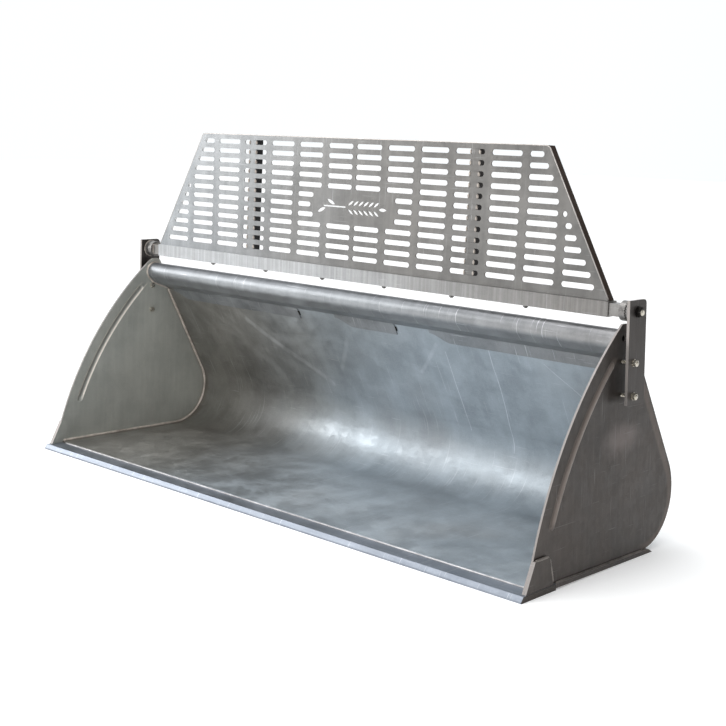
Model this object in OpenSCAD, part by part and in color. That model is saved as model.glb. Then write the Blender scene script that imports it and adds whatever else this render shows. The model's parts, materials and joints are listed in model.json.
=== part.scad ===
// Front loader bucket for loose material, with a tilting perforated spill guard on toothed pivots.
// Frame: +X along the cutting edge, +Y towards the loader, +Z up.
// Origin: bottom centre of the whole object. The profiles below measure y from the cutting lip,
// and in_frame() moves them to the origin.

/* [Bucket] */
// Length of the cutting edge bar
edge_l = 2020; // [1700:10:2400]
// Front to back width of the cutting edge bar
edge_w = 145; // [140:1:150]
// Thickness of the cutting edge bar
edge_t = 16; // [14:1:18]
// Thickness of the folded shell sheet
sheet_t = 5; // [4:0.5:6]
// Inside radius of the rear bend of the shell
bend_r = 134; // [130:1:138]
// Lean of the back sheet from the vertical, in degrees
back_lean = 28.9; // [28:0.1:30]
// Distance from the lip to the centre of the rear bend
bend_y = 559; // [555:1:563]

/* [Side plates] */
// Thickness of each side plate
plate_t = 6; // [5:0.5:8]
// Outside half width over the side plates at their foot
plate_half = 1002; // [850:1:1190]
// Lean of each side plate towards the middle, in degrees
plate_lean = 2.3; // [1.5:0.1:3]
// Height of the front ear that carries the guard bracket
ear_top = 638; // [634:1:642]
// Radius of the front edge arc
front_r = 1101; // [1095:1:1107]
// Width of the pressed stiffening bead
bead_w = 22; // [18:1:26]
// Height of the pressed stiffening bead
bead_h = 5; // [4:0.5:6]

/* [Guard] */
// Height of the guard sheet above the tube
guard_h = 393; // [385:1:400]
// Half width of the guard sheet at its foot
guard_foot = 929; // [900:1:935]
// Half width of the guard sheet at its top
guard_top = 709; // [690:1:730]
// Thickness of the guard sheet
guard_t = 3; // [2:0.5:4]
// Depth of the folded rims
rim_w = 27; // [16:1:30]
// Lean of the guard sheet towards the loader, in degrees
guard_lean = 1.5; // [0:0.5:2]
// Outside width of the square guard tube
tube_w = 40; // [40:1:42]
// Wall of the square guard tube
tube_wall = 3.5; // [3:0.5:3.5]
// Length of a slot
slot_l = 104; // [96:1:108]
// Height of a slot
slot_h = 15; // [12:1:17]

/* [Pivot] */
// Height of the pivot axis above the ground
pivot_z = 671; // [670:1:680]
// Diameter of a toothed disc
disc_d = 53; // [50:1:56]
// Teeth round a disc
disc_teeth = 24; // [24:4:36]
// Diameter of the pivot bolt
bolt_d = 16; // [14:1:16]
// Width of the bracket bar
bracket_w = 80; // [76:1:84]
// Thickness of the bracket bar
bracket_t = 8; // [8:1:10]

/* [Hitch] */
// Distance from the middle to the inner face of a hook plate
hook_x = 510; // [480:1:540]
// Thickness of a hook plate
hook_t = 15; // [12:1:20]
// Height of the hook centre
hook_z = 505; // [500:1:510]
// Height of the locking eye centre
eye_z = 105; // [100:1:110]
// Radius of the hook throat
throat_r = 21; // [20:0.5:22]
// Radius of the locking eye
eye_r = 17; // [15:0.5:18]

/* [Hidden] */
$fn = 96;

// Colours of the zinc coating: bright sheet, darker plate, fresh fastener, dark washer
zinc_light = [0.72, 0.74, 0.76];
zinc_dark = [0.45, 0.44, 0.42];
zinc_screw = [0.80, 0.80, 0.78];
dark_steel = [0.16, 0.15, 0.14];

// Root gap left for a weld between two parts
weld_gap = 0.05;
// Distance from the lip to the rearmost point of the hooks
overall_y = 770;

// Shell profile: directions and tangent points
out_back = [cos(back_lean), sin(back_lean)];
up_back = [-sin(back_lean), cos(back_lean)];
bend_z = edge_t + bend_r;
bend_c = [bend_y, bend_z];
fold_y = edge_w + 1;
sheet_front = 62;

// Top beam profile: nose radius outside, nose centre, facet and apron
nose_r = 30;
nose_z = 592;
apron_z = 526;
facet_l = 26;
nose_gap = bend_r + sheet_t - nose_r;
nose_s = (nose_z - bend_z - nose_gap * out_back[1]) / up_back[1];
nose_c = bend_c + nose_gap * out_back + nose_s * up_back;
nose_end = nose_c + nose_r * [cos(225), sin(225)];
crease = nose_end + facet_l * [cos(-45), sin(-45)];
apron_s = (apron_z - bend_z - bend_r * out_back[1]) / up_back[1];
apron_end = bend_c + bend_r * out_back + apron_s * up_back;

// Side plate profile
plate_foot_z = edge_t + 4;
plate_gap = 0.4;
front_c = [1111, -226];
kink = [57, 91];
plate_r = 150;
plate_c = [553, plate_r + edge_t - sheet_t + plate_gap];
ear_r = 22;
plate_back = plate_r + (plate_c - bend_c) * out_back;
ear_s = (ear_top - ear_r - bend_z - (plate_back - ear_r) * out_back[1]) / up_back[1];
ear_c = bend_c + (plate_back - ear_r) * out_back + ear_s * up_back;
bead_r = 1054;
bead_from = 133.8;
bead_to = 158.3;
vent = [436, 600];
vent_r = 9;

// Guard placing
guard_mid_y = 446;
tube_top = pivot_z + tube_w / 2;
tube_half = 931;
sheet_y = guard_mid_y - tube_w / 2 + 5.5;
flange_w = 28;
rim_step = 0.4;
rim_foot = 1.2;
stiff_w = 30;
stiff_x = 445;
stiff_wall = 2.5;
stiff_cut = 12;
screw_x = [131.3, 393.9, 656.5];
screw_r = 4;
screw_hole_r = 4.5;
screw_af = 13;
screw_head = 5.3;
screw_nut = 6.5;
screw_tail = 2.5;

// Slot grid on the guard sheet
slot_pitch_x = 128.3;
slot_pitch_z = 30.7;
slot_first_x = 7;
slot_first_z = 31;
slot_margin = 27;
slot_cols = 7;
slot_rows = 12;
emblem_rows = [4, 5, 6];
emblem_half = [170, 182, 170];

// Pivot hardware along X, right side
stand_off = 25.4;
bracket_foot = 432;
bracket_top = 702;
bracket_front = guard_mid_y - bracket_w / 2;
bracket_corner = 12;
fix_y = 432;
fix_z = [454, 541];
fix_r = 5;
fix_hole_r = 5.5;
fix_af = 17;
fix_head = 6.4;
thin_nut = 5;
full_nut = 8;
washer_t = 2;
washer_r = 10;
fix_tail = 3;
bore_r = bolt_d / 2 + 0.08;
mesh_gap = 0.4;
disc_t = 15;
hub_t = 19.5;
disc_run = 1.6;
pivot_x = plate_out(pivot_z) + stand_off / cos(plate_lean);
disc_face = pivot_x - disc_t;
stub_face = disc_face - mesh_gap;
stub_end = stub_face - hub_t - weld_gap;
stub_in = 811;
stub_w = tube_w - 2 * tube_wall - 0.2;
stub_wall = 4;
bolt_head = 10;
bolt_square = 24;
big_washer_r = 15;
big_washer_t = 3;
pivot_nut = 8;
pivot_af = 24;
bolt_tail = 4;
nut_slack = 0.6;

// Helpers: a profile given as [y, z], extruded from x0 to x1
module along_x(x0, x1) {
    translate([x0, 0, 0]) rotate([90, 0, 90]) linear_extrude(x1 - x0) children();
}

// A profile given as [x, z], extruded from y0 to y1
module along_y(y0, y1) {
    translate([0, y1, 0]) rotate([90, 0, 0]) linear_extrude(y1 - y0) children();
}

// A round bar along X at one [y, z]
module rod(x0, x1, at, r) {
    translate([x0, at[0], at[1]]) rotate([0, 90, 0]) cylinder(r = r, h = x1 - x0);
}

// A hexagon along X, given by its width across flats
module hexagon(x0, x1, at, af) {
    translate([x0, at[0], at[1]]) rotate([0, 90, 0]) cylinder(d = af / cos(30), h = x1 - x0, $fn = 6);
}

// Moves a profile measured from the lip to the frame of the whole object
module in_frame() {
    translate([0, -overall_y / 2, 0]) children();
}

module left_side() {
    mirror([1, 0, 0]) children();
}

// Tilts a right side plate in its own frame, where x = 0 is its outer face
module on_plate() {
    translate([plate_half, 0, plate_foot_z]) rotate([0, -plate_lean, 0])
        translate([0, 0, -plate_foot_z]) children();
}

// Outer face and inner face of the right side plate at height z
function plate_out(z) = plate_half - (z - plate_foot_z) * tan(plate_lean);
function plate_in(z) = plate_out(z) - plate_t / cos(plate_lean);

// Keeps what lies between the inner faces of the two side plates
module between_plates() {
    low = -20;
    high = 700;
    a = plate_in(low) - weld_gap;
    b = plate_in(high) - weld_gap;
    intersection() {
        children();
        along_y(-10, overall_y) polygon([[-a, low], [a, low], [b, high], [-b, high]]);
    }
}

// Inside corner point of a band of thickness t that runs from a over b to c
function unit(v) = v / norm(v);
function turned(v) = [-v[1], v[0]];
function mitre(a, b, c, t) =
    let (n = turned(unit(b - a)), m = unit(n + turned(unit(c - b)))) b + m * t / (m * n);

// Space inside the shell sheet, grown by g; the mouth side reaches past the sheet by m
module shell_space(g, m) {
    top = nose_c + (g - sheet_t + nose_r) * out_back;
    translate(bend_c) circle(r = bend_r + g);
    polygon([
        [sheet_front - m, edge_t + sheet_t - g], [fold_y, edge_t + sheet_t - g],
        bend_c - [0, bend_r + g], bend_c, bend_c + (bend_r + g) * out_back,
        top, top - (m + 12) * out_back, [sheet_front - m, edge_t + sheet_t + m]
    ]);
}

module bucket_shell() {
    color(zinc_light) in_frame() between_plates() along_x(-plate_half, plate_half)
        difference() {
            shell_space(sheet_t, 0);
            shell_space(0, 60);
        }
}

module cutting_edge() {
    land = 5;
    bevel = 9;
    color(zinc_light) in_frame() along_x(-edge_l / 2, edge_l / 2)
        polygon([[0, 0], [edge_w, 0], [edge_w, edge_t], [bevel, edge_t], [0, land]]);
}

module plate_profile() {
    foot = edge_t + plate_gap;
    intersection() {
        translate(front_c) circle(r = front_r, $fn = 360);
        union() {
            polygon([
                [30, kink[1]], [30, ear_top], [ear_c[0], ear_top], ear_c,
                ear_c + ear_r * out_back, plate_c + plate_r * out_back, plate_c,
                [plate_c[0], kink[1]]
            ]);
            translate(ear_c) circle(r = ear_r);
        }
    }
    translate(plate_c) circle(r = plate_r);
    polygon([
        [20, foot], kink, [plate_c[0], kink[1]], plate_c - [0, plate_r], [fold_y, foot]
    ]);
}

// Pressed bead along the front edge; x = 0 is the face that it stands on
module bead() {
    r = (pow(bead_w / 2, 2) + pow(bead_h, 2)) / (2 * bead_h);
    translate([bead_h - r, front_c[0], front_c[1]]) rotate([90, 0, 90]) {
        rotate([0, 0, bead_from]) rotate_extrude(angle = bead_to - bead_from, $fn = 360)
            translate([bead_r, 0]) circle(r = r, $fn = 48);
        for (a = [bead_from, bead_to])
            rotate([0, 0, a]) translate([bead_r, 0, 0]) sphere(r = r, $fn = 48);
    }
}

module side_plate() {
    difference() {
        on_plate() difference() {
            union() {
                along_x(-plate_t, 0) plate_profile();
                intersection() {
                    bead();
                    translate([-1, 0, 0]) cube([bead_h + 2, overall_y, ear_top]);
                }
            }
            translate([-plate_t, 0, 0]) bead();
        }
        on_plate() for (z = fix_z) rod(-plate_t - 1, 1, [fix_y, z], fix_hole_r);
        rod(plate_half - 60, plate_half, vent, vent_r);
    }
}

module side_plate_right() {
    color(zinc_dark) in_frame() side_plate();
}

module side_plate_left() {
    color(zinc_dark) left_side() in_frame() side_plate();
}

// Rolled beam along the top of the back sheet, closed by an apron under it
module top_beam() {
    start = nose_c + (nose_r - sheet_t) * out_back;
    inner_end = nose_c + (nose_r - sheet_t) * [cos(225), sin(225)];
    inner_crease = mitre(nose_end, crease, apron_end, sheet_t);
    over = 40 * out_back;
    color(zinc_light) in_frame() between_plates() along_x(-plate_half, plate_half)
        difference() {
            union() {
                translate(nose_c) circle(r = nose_r);
                polygon([start, nose_c, nose_end, crease, apron_end + out_back]);
            }
            translate(nose_c) circle(r = nose_r - sheet_t);
            polygon([
                start, nose_c, inner_end, inner_crease, apron_end + 7 * up_back,
                apron_end + 7 * up_back + out_back, start + out_back
            ]);
            polygon([
                start + weld_gap * (up_back - out_back), start + weld_gap * up_back + over,
                start - 200 * up_back + over, start - 200 * up_back - weld_gap * out_back
            ]);
        }
}

module corner_plate() {
    t = 7;
    on_plate() along_x(weld_gap, t)
        polygon([[20, edge_t + 0.2], kink, [117, kink[1]], [135, edge_t + 0.2]]);
}

module corner_plate_right() {
    color(zinc_dark) in_frame() corner_plate();
}

module corner_plate_left() {
    color(zinc_dark) left_side() in_frame() corner_plate();
}

// Flat wear strip under the floor along each side
module floor_strip() {
    w = 60;
    rear = 597;
    nose = 16;
    top = edge_t - weld_gap;
    fall = sheet_t / (bend_y - fold_y);
    thick = top - fall * (rear - fold_y);
    along_x(edge_l / 2 - w, edge_l / 2)
        polygon([
            [fold_y, top - thick], [rear, 0],
            [rear - nose, top - fall * (rear - nose - fold_y)], [fold_y, top]
        ]);
}

module floor_strip_right() {
    color(zinc_dark) in_frame() floor_strip();
}

module floor_strip_left() {
    color(zinc_dark) left_side() in_frame() floor_strip();
}

// Hook plate: hook above, locking eye below, shaped to the back of the shell
module hitch_hook() {
    arm = 27;
    hook_out = throat_r + arm;
    hook_c = [overall_y - hook_out, hook_z];
    eye_out = 35;
    eye_c = [overall_y - eye_out, eye_z];
    rear = hook_c[0] - throat_r;
    tip = 35;
    difference() {
        union() {
            rod(hook_x, hook_x + hook_t, hook_c, hook_out);
            rod(hook_x, hook_x + hook_t, eye_c, eye_out);
            along_x(hook_x, hook_x + hook_t) polygon([
                [490, hook_z + 30], hook_c + [-15, hook_out - 4], hook_c,
                [rear - 4, eye_z + 100], eye_c + [eye_out - 6, 6],
                eye_c - [6, eye_out - 6], [650, 60], [600, 200]
            ]);
            along_x(hook_x, hook_x + hook_t)
                translate(hook_c - [0, tip]) square([hook_out - 1, tip + 8]);
        }
        along_x(hook_x - 1, hook_x + hook_t + 1) shell_space(sheet_t + weld_gap, 0);
        rod(hook_x - 1, hook_x + hook_t + 1, hook_c, throat_r);
        rod(hook_x - 1, hook_x + hook_t + 1, eye_c, eye_r);
        along_x(hook_x - 1, hook_x + hook_t + 1) {
            translate([rear, eye_z + 130]) square([2 * throat_r, hook_z - eye_z - 130]);
            translate([rear + 2 * throat_r - 1, hook_z - 80]) square([arm + 2, 80 - tip]);
        }
    }
}

module hitch_hook_right() {
    color(zinc_dark) in_frame() hitch_hook();
}

module hitch_hook_left() {
    color(zinc_dark) left_side() in_frame() hitch_hook();
}

// Upright flat bar that carries the guard pivot, parallel to the side plate
module guard_bracket() {
    rear = bracket_front + bracket_w;
    c = bracket_corner;
    x1 = stand_off + bracket_t;
    difference() {
        on_plate() difference() {
            union() {
                along_x(stand_off, x1) polygon([
                    [bracket_front, bracket_foot], [rear, bracket_foot],
                    [rear, bracket_top - c], [rear - c, bracket_top - c],
                    [rear - c, bracket_top], [bracket_front, bracket_top]
                ]);
                rod(stand_off, x1, [rear - c, bracket_top - c], c);
            }
            for (z = fix_z) rod(stand_off - 1, x1 + 1, [fix_y, z], fix_hole_r);
        }
        rod(pivot_x - 20, pivot_x + 20, [guard_mid_y, pivot_z], bore_r);
    }
}

module guard_bracket_right() {
    color(zinc_dark) in_frame() guard_bracket();
}

module guard_bracket_left() {
    color(zinc_dark) left_side() in_frame() guard_bracket();
}

// Toothed disc on the pivot axis from x = 0 to x = t; the teeth are on the x = 0 face.
// Each tooth gap is a right-angled groove that deepens away from the axis.
module toothed_disc(turn, t) {
    step = 360 / disc_teeth;
    bite = 40;
    relief = 14;
    translate([0, guard_mid_y, pivot_z]) difference() {
        rod(0, t, [0, 0], disc_d / 2);
        rod(-1, t + 1, [0, 0], bore_r);
        rod(-1, relief * tan(step / 2), [0, 0], relief);
        for (k = [0 : disc_teeth - 1])
            rotate([turn + k * step, 0, 0]) rotate([0, 0, -step / 2])
                translate([0, bite / 2, 0]) rotate([0, 45, 0])
                    translate([-bite / 4, -bite / 2, -bite / 4]) cube([bite / 4, bite, bite / 4]);
    }
}

// The back of this disc is cut to the lean of the bracket
module bracket_disc() {
    half = disc_d;
    difference() {
        translate([disc_face, 0, 0]) toothed_disc(0, disc_t + disc_run);
        on_plate() translate([stand_off - weld_gap, guard_mid_y - half, pivot_z - half])
            cube([2 * disc_t, 2 * half, 2 * half]);
    }
}

module bracket_disc_right() {
    color(zinc_dark) in_frame() bracket_disc();
}

module bracket_disc_left() {
    color(zinc_dark) left_side() in_frame() bracket_disc();
}

module stub_disc() {
    translate([stub_face, 0, 0]) mirror([1, 0, 0]) toothed_disc(180 / disc_teeth, hub_t);
}

module stub_disc_right() {
    color(zinc_dark) in_frame() stub_disc();
}

module stub_disc_left() {
    color(zinc_dark) left_side() in_frame() stub_disc();
}

module both_sides() {
    children();
    mirror([1, 0, 0]) children();
}

// Bolts from inside the bucket, across the gap and through the bracket
module bracket_bolts() {
    seat = -plate_t - weld_gap;
    end = stand_off + bracket_t + washer_t + full_nut + fix_tail;
    color(zinc_screw) in_frame() both_sides() on_plate() for (z = fix_z) {
        hexagon(seat - fix_head, seat, [fix_y, z], fix_af);
        rod(seat - 1, end, [fix_y, z], fix_r);
    }
}

module fix_nut(x0, h, z) {
    difference() {
        hexagon(x0, x0 + h, [fix_y, z], fix_af);
        rod(x0 - 1, x0 + h + 1, [fix_y, z], fix_r + weld_gap);
    }
}

// Thin nut inside the bracket and full nut outside it
module bracket_nuts() {
    outer = stand_off + bracket_t + washer_t + 2 * weld_gap;
    color(zinc_screw) in_frame() both_sides() on_plate() for (z = fix_z) {
        fix_nut(stand_off - weld_gap - thin_nut, thin_nut, z);
        fix_nut(outer, full_nut, z);
    }
}

module bracket_washers() {
    x0 = stand_off + bracket_t + weld_gap;
    color(zinc_screw) in_frame() both_sides() on_plate() for (z = fix_z)
        difference() {
            rod(x0, x0 + washer_t, [fix_y, z], washer_r);
            rod(x0 - 1, x0 + washer_t + 1, [fix_y, z], fix_hole_r);
        }
}

// The pivot washer and nut sit square on the leaning bracket, so their holes have slack
module pivot_washers() {
    x0 = stand_off + bracket_t + weld_gap;
    axle = [guard_mid_y, pivot_z];
    color(dark_steel) in_frame() both_sides() difference() {
        on_plate() rod(x0, x0 + big_washer_t, axle, big_washer_r);
        rod(pivot_x, pivot_x + 60, axle, bore_r + nut_slack);
    }
}

module pivot_nuts() {
    x0 = stand_off + bracket_t + big_washer_t + 2 * weld_gap;
    axle = [guard_mid_y, pivot_z];
    color(zinc_screw) in_frame() both_sides() difference() {
        on_plate() hexagon(x0, x0 + pivot_nut, axle, pivot_af);
        rod(pivot_x, pivot_x + 60, axle, bore_r);
    }
}

// Bolt with a square head that the stub keeps from turning
module pivot_bolt() {
    axle = [guard_mid_y, pivot_z];
    end = pivot_x + bracket_t + big_washer_t + pivot_nut + bolt_tail;
    translate([stub_end - bolt_head, axle[0] - bolt_square / 2, axle[1] - bolt_square / 2])
        cube([bolt_head, bolt_square, bolt_square]);
    rod(stub_end - 1, end, axle, bolt_d / 2);
}

module pivot_bolt_right() {
    color(zinc_screw) in_frame() pivot_bolt();
}

module pivot_bolt_left() {
    color(zinc_screw) left_side() in_frame() pivot_bolt();
}

// Square tube of width w and wall t along X, centred on the pivot axis
module square_tube(x0, x1, w, t) {
    along_x(x0, x1) translate([guard_mid_y, pivot_z]) difference() {
        square(w, center = true);
        square(w - 2 * t, center = true);
    }
}

module stub() {
    square_tube(stub_in, stub_end, stub_w, stub_wall);
}

module stub_right() {
    color(zinc_light) in_frame() stub();
}

module stub_left() {
    color(zinc_light) left_side() in_frame() stub();
}

module guard_tube() {
    color(zinc_light) in_frame() difference() {
        square_tube(-tube_half, tube_half, tube_w, tube_wall);
        for (x = screw_x, s = [-1, 1])
            translate([s * x, guard_mid_y, pivot_z - tube_w])
                cylinder(r = screw_hole_r, h = 2 * tube_w);
    }
}

// Half width of the guard sheet at height h above its foot
function guard_half(h) = guard_foot - (guard_foot - guard_top) * h / guard_h;

// One slot with round ends from x = a to x = b at height h; a short one is a round hole
module slot(a, b, h) {
    r = slot_h / 2;
    short = slot_h + 4;
    if (b - a < short) translate([b - r, h]) circle(r = r, $fn = 32);
    else {
        for (x = [a + r, b - r]) translate([x, h]) circle(r = r, $fn = 32);
        translate([a + r, h - r]) square([b - a - slot_h, slot_h]);
    }
}

// Slots of one half: each is cut short of the slanted edge and of the plain field in the middle
module slot_field() {
    for (row = [0 : slot_rows - 1], col = [0 : slot_cols - 1]) {
        h = slot_first_z + row * slot_pitch_z;
        hit = search(row, emblem_rows);
        clear = len(hit) > 0 ? emblem_half[hit[0]] : 0;
        a = slot_first_x + col * slot_pitch_x;
        full = a + slot_l;
        b = min(full, guard_half(h) - slot_margin);
        from = max(a, clear);
        if (b > from) slot(from, b, h);
    }
}

// Lens-shaped grain of length l, pointing along +X
module grain(l) {
    r = l * 0.95;
    d = sqrt(r * r - l * l / 4);
    intersection() {
        translate([l / 2, d]) circle(r = r, $fn = 64);
        translate([l / 2, -d]) circle(r = r, $fn = 64);
    }
}

// Cut-out of an ear of wheat in the plain field of the guard
module wheat_ear() {
    grains = 6;
    step = 21;
    translate([-20, 0]) {
        for (k = [0 : grains - 1], s = [-1, 1])
            translate([k * step, s * 6]) rotate(s * 32) grain(28);
        translate([grains * step, 0]) grain(34);
    }
    translate([-125, -2]) square([96, 4]);
    for (s = [-1, 1]) translate([-95 + 20 * s, s * 6]) rotate(s * 158) grain(38);
}

// Outline of the guard sheet drawn in by d on its slanted edges and its top, from height low up
module guard_outline(d, low) {
    skew = d / cos(atan((guard_foot - guard_top) / guard_h));
    a = guard_half(low) - skew;
    b = guard_half(guard_h - d) - skew;
    polygon([[-a, low], [a, low], [b, guard_h - d], [-b, guard_h - d]]);
}

// The guard sheet stands on the tube, leans back and has a level flange under it
module guard_sheet() {
    emblem_h = slot_first_z + emblem_rows[1] * slot_pitch_z;
    color(zinc_light) in_frame() difference() {
        union() {
            translate([0, sheet_y, tube_top + weld_gap]) rotate([-guard_lean, 0, 0])
                difference() {
                    union() {
                        along_y(0, guard_t) guard_outline(0, 0);
                        along_y(guard_t - 0.5, rim_w) difference() {
                            guard_outline(rim_step, 0);
                            guard_outline(rim_step + guard_t, -10);
                        }
                    }
                    both_sides() along_y(-1, guard_t + 1) slot_field();
                    along_y(-1, guard_t + 1) translate([0, emblem_h]) wheat_ear();
                    translate([-guard_foot - 50, -5, rim_foot - 50])
                        cube([2 * guard_foot + 100, 60, 50]);
                }
            translate([-guard_foot + 6, sheet_y + 0.1, tube_top + weld_gap])
                cube([2 * guard_foot - 12, flange_w, guard_t]);
        }
        for (x = screw_x, s = [-1, 1])
            translate([s * x, guard_mid_y, tube_top - 1])
                cylinder(r = screw_hole_r, h = guard_t + 5);
    }
}

// Square tube behind the sheet, in line with the fourth slot column from the middle
module stiffener() {
    foot = guard_t + 1;
    translate([0, sheet_y, tube_top + weld_gap]) rotate([-guard_lean, 0, 0])
        translate([stiff_x, guard_t + weld_gap, foot]) difference() {
            cube([stiff_w, stiff_w, guard_h - foot - stiff_cut]);
            translate([stiff_wall, stiff_wall, -1])
                cube([stiff_w - 2 * stiff_wall, stiff_w - 2 * stiff_wall, guard_h]);
        }
}

module stiffener_right() {
    color(zinc_light) in_frame() stiffener();
}

module stiffener_left() {
    color(zinc_light) left_side() in_frame() stiffener();
}

// Screws that hold the sheet flange on the tube, heads on top
module sheet_screws() {
    top = tube_top + guard_t + 2 * weld_gap;
    low = pivot_z - tube_w / 2 - screw_nut - screw_tail;
    color(zinc_screw) in_frame() for (x = screw_x, s = [-1, 1])
        translate([s * x, guard_mid_y, 0]) {
            translate([0, 0, top]) cylinder(d = screw_af / cos(30), h = screw_head, $fn = 6);
            translate([0, 0, low]) cylinder(r = screw_r, h = top - low + 1);
        }
}

module sheet_nuts() {
    top = pivot_z - tube_w / 2 - weld_gap;
    color(zinc_screw) in_frame() for (x = screw_x, s = [-1, 1])
        translate([s * x, guard_mid_y, top - screw_nut]) difference() {
            cylinder(d = screw_af / cos(30), h = screw_nut, $fn = 6);
            translate([0, 0, -1]) cylinder(r = screw_r + weld_gap, h = screw_nut + 2);
        }
}

bucket_shell();
cutting_edge();
side_plate_left();
side_plate_right();
top_beam();
corner_plate_left();
corner_plate_right();
floor_strip_left();
floor_strip_right();
hitch_hook_left();
hitch_hook_right();
guard_bracket_left();
guard_bracket_right();
bracket_disc_left();
bracket_disc_right();
bracket_bolts();
bracket_nuts();
bracket_washers();
pivot_nuts();
pivot_washers();
guard_sheet();
guard_tube();
stiffener_left();
stiffener_right();
sheet_screws();
sheet_nuts();
stub_left();
stub_right();
stub_disc_left();
stub_disc_right();
pivot_bolt_left();
pivot_bolt_right();
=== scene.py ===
import json
import math
import random
from functools import cached_property

import bpy
from mathutils import Matrix, Vector

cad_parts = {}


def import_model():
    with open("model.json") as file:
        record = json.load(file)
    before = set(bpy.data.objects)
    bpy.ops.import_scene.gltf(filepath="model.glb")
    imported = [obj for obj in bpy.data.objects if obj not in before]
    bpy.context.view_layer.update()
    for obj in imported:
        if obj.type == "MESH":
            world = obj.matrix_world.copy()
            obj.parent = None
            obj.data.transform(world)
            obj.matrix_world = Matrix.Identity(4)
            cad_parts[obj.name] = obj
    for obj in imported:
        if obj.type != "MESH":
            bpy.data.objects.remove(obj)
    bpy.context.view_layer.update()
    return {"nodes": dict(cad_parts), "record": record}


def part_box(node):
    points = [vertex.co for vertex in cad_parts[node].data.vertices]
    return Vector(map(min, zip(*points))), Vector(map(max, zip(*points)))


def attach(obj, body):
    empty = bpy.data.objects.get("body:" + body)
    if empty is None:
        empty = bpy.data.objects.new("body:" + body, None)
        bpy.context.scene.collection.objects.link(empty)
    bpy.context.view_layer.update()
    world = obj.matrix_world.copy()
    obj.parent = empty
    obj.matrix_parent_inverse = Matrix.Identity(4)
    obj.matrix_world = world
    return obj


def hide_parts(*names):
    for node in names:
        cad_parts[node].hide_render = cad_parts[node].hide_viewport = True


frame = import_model()
nodes = frame["nodes"]
random.seed(7)

# Lengths are in metres, in the object's frame: the origin is the bottom centre of the object's
# box, X runs along the cutting edge and the mouth faces -Y.
LIP_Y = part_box("cutting_edge")[0].y
EDGE_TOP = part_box("cutting_edge")[1].z

# Side plates: outer face at the foot, inward lean and thickness
HALF = 1.002
FOOT_Z = 0.020
LEAN = math.radians(2.3)
PLATE_T = 0.006

# Pressed bead of a side plate: the centre and radius of its arc, and the heights where it fades
BEAD_C = Vector((0, LIP_Y + 1.111, -0.226))
BEAD_R = 1.054
BEAD_FOOT = (0.15, 0.18)
BEAD_HEAD = (0.53, 0.56)

# Shell: sheet, bend, and the back sheet with its outward and upward directions
SHEET = 0.005
BEND_R = 0.134
BEND = Vector((0, LIP_Y + 0.559, 0.150))
BACK = math.radians(28.9)
OUT = Vector((0, math.cos(BACK), math.sin(BACK)))
UP = Vector((0, -math.sin(BACK), math.cos(BACK)))

# Top beam: axis and radius of its roll, and the height where its apron meets the back sheet
BEAM = Vector((0, LIP_Y + 0.4395, 0.592))
BEAM_R = 0.030
APRON_Z = 0.526

# Guard brackets and the clearance left between touching parts
STAND_OFF = 0.0254
BAR_T = 0.008
GAP = 0.00005


def plate_out(z):
    """The X of a side plate's outer face at height z."""
    return HALF - (z - FOOT_Z) * math.tan(LEAN)


def plate_in(z):
    return plate_out(z) - PLATE_T / math.cos(LEAN)


def round_x(centre, radius, degrees):
    """A point on a circle about an axis along X, 0 degrees towards +Y and 90 upwards."""
    w = math.radians(degrees)
    return centre + radius * Vector((0, math.cos(w), math.sin(w)))


# ---- materials: node helpers --------------------------------------------------------------------

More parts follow.
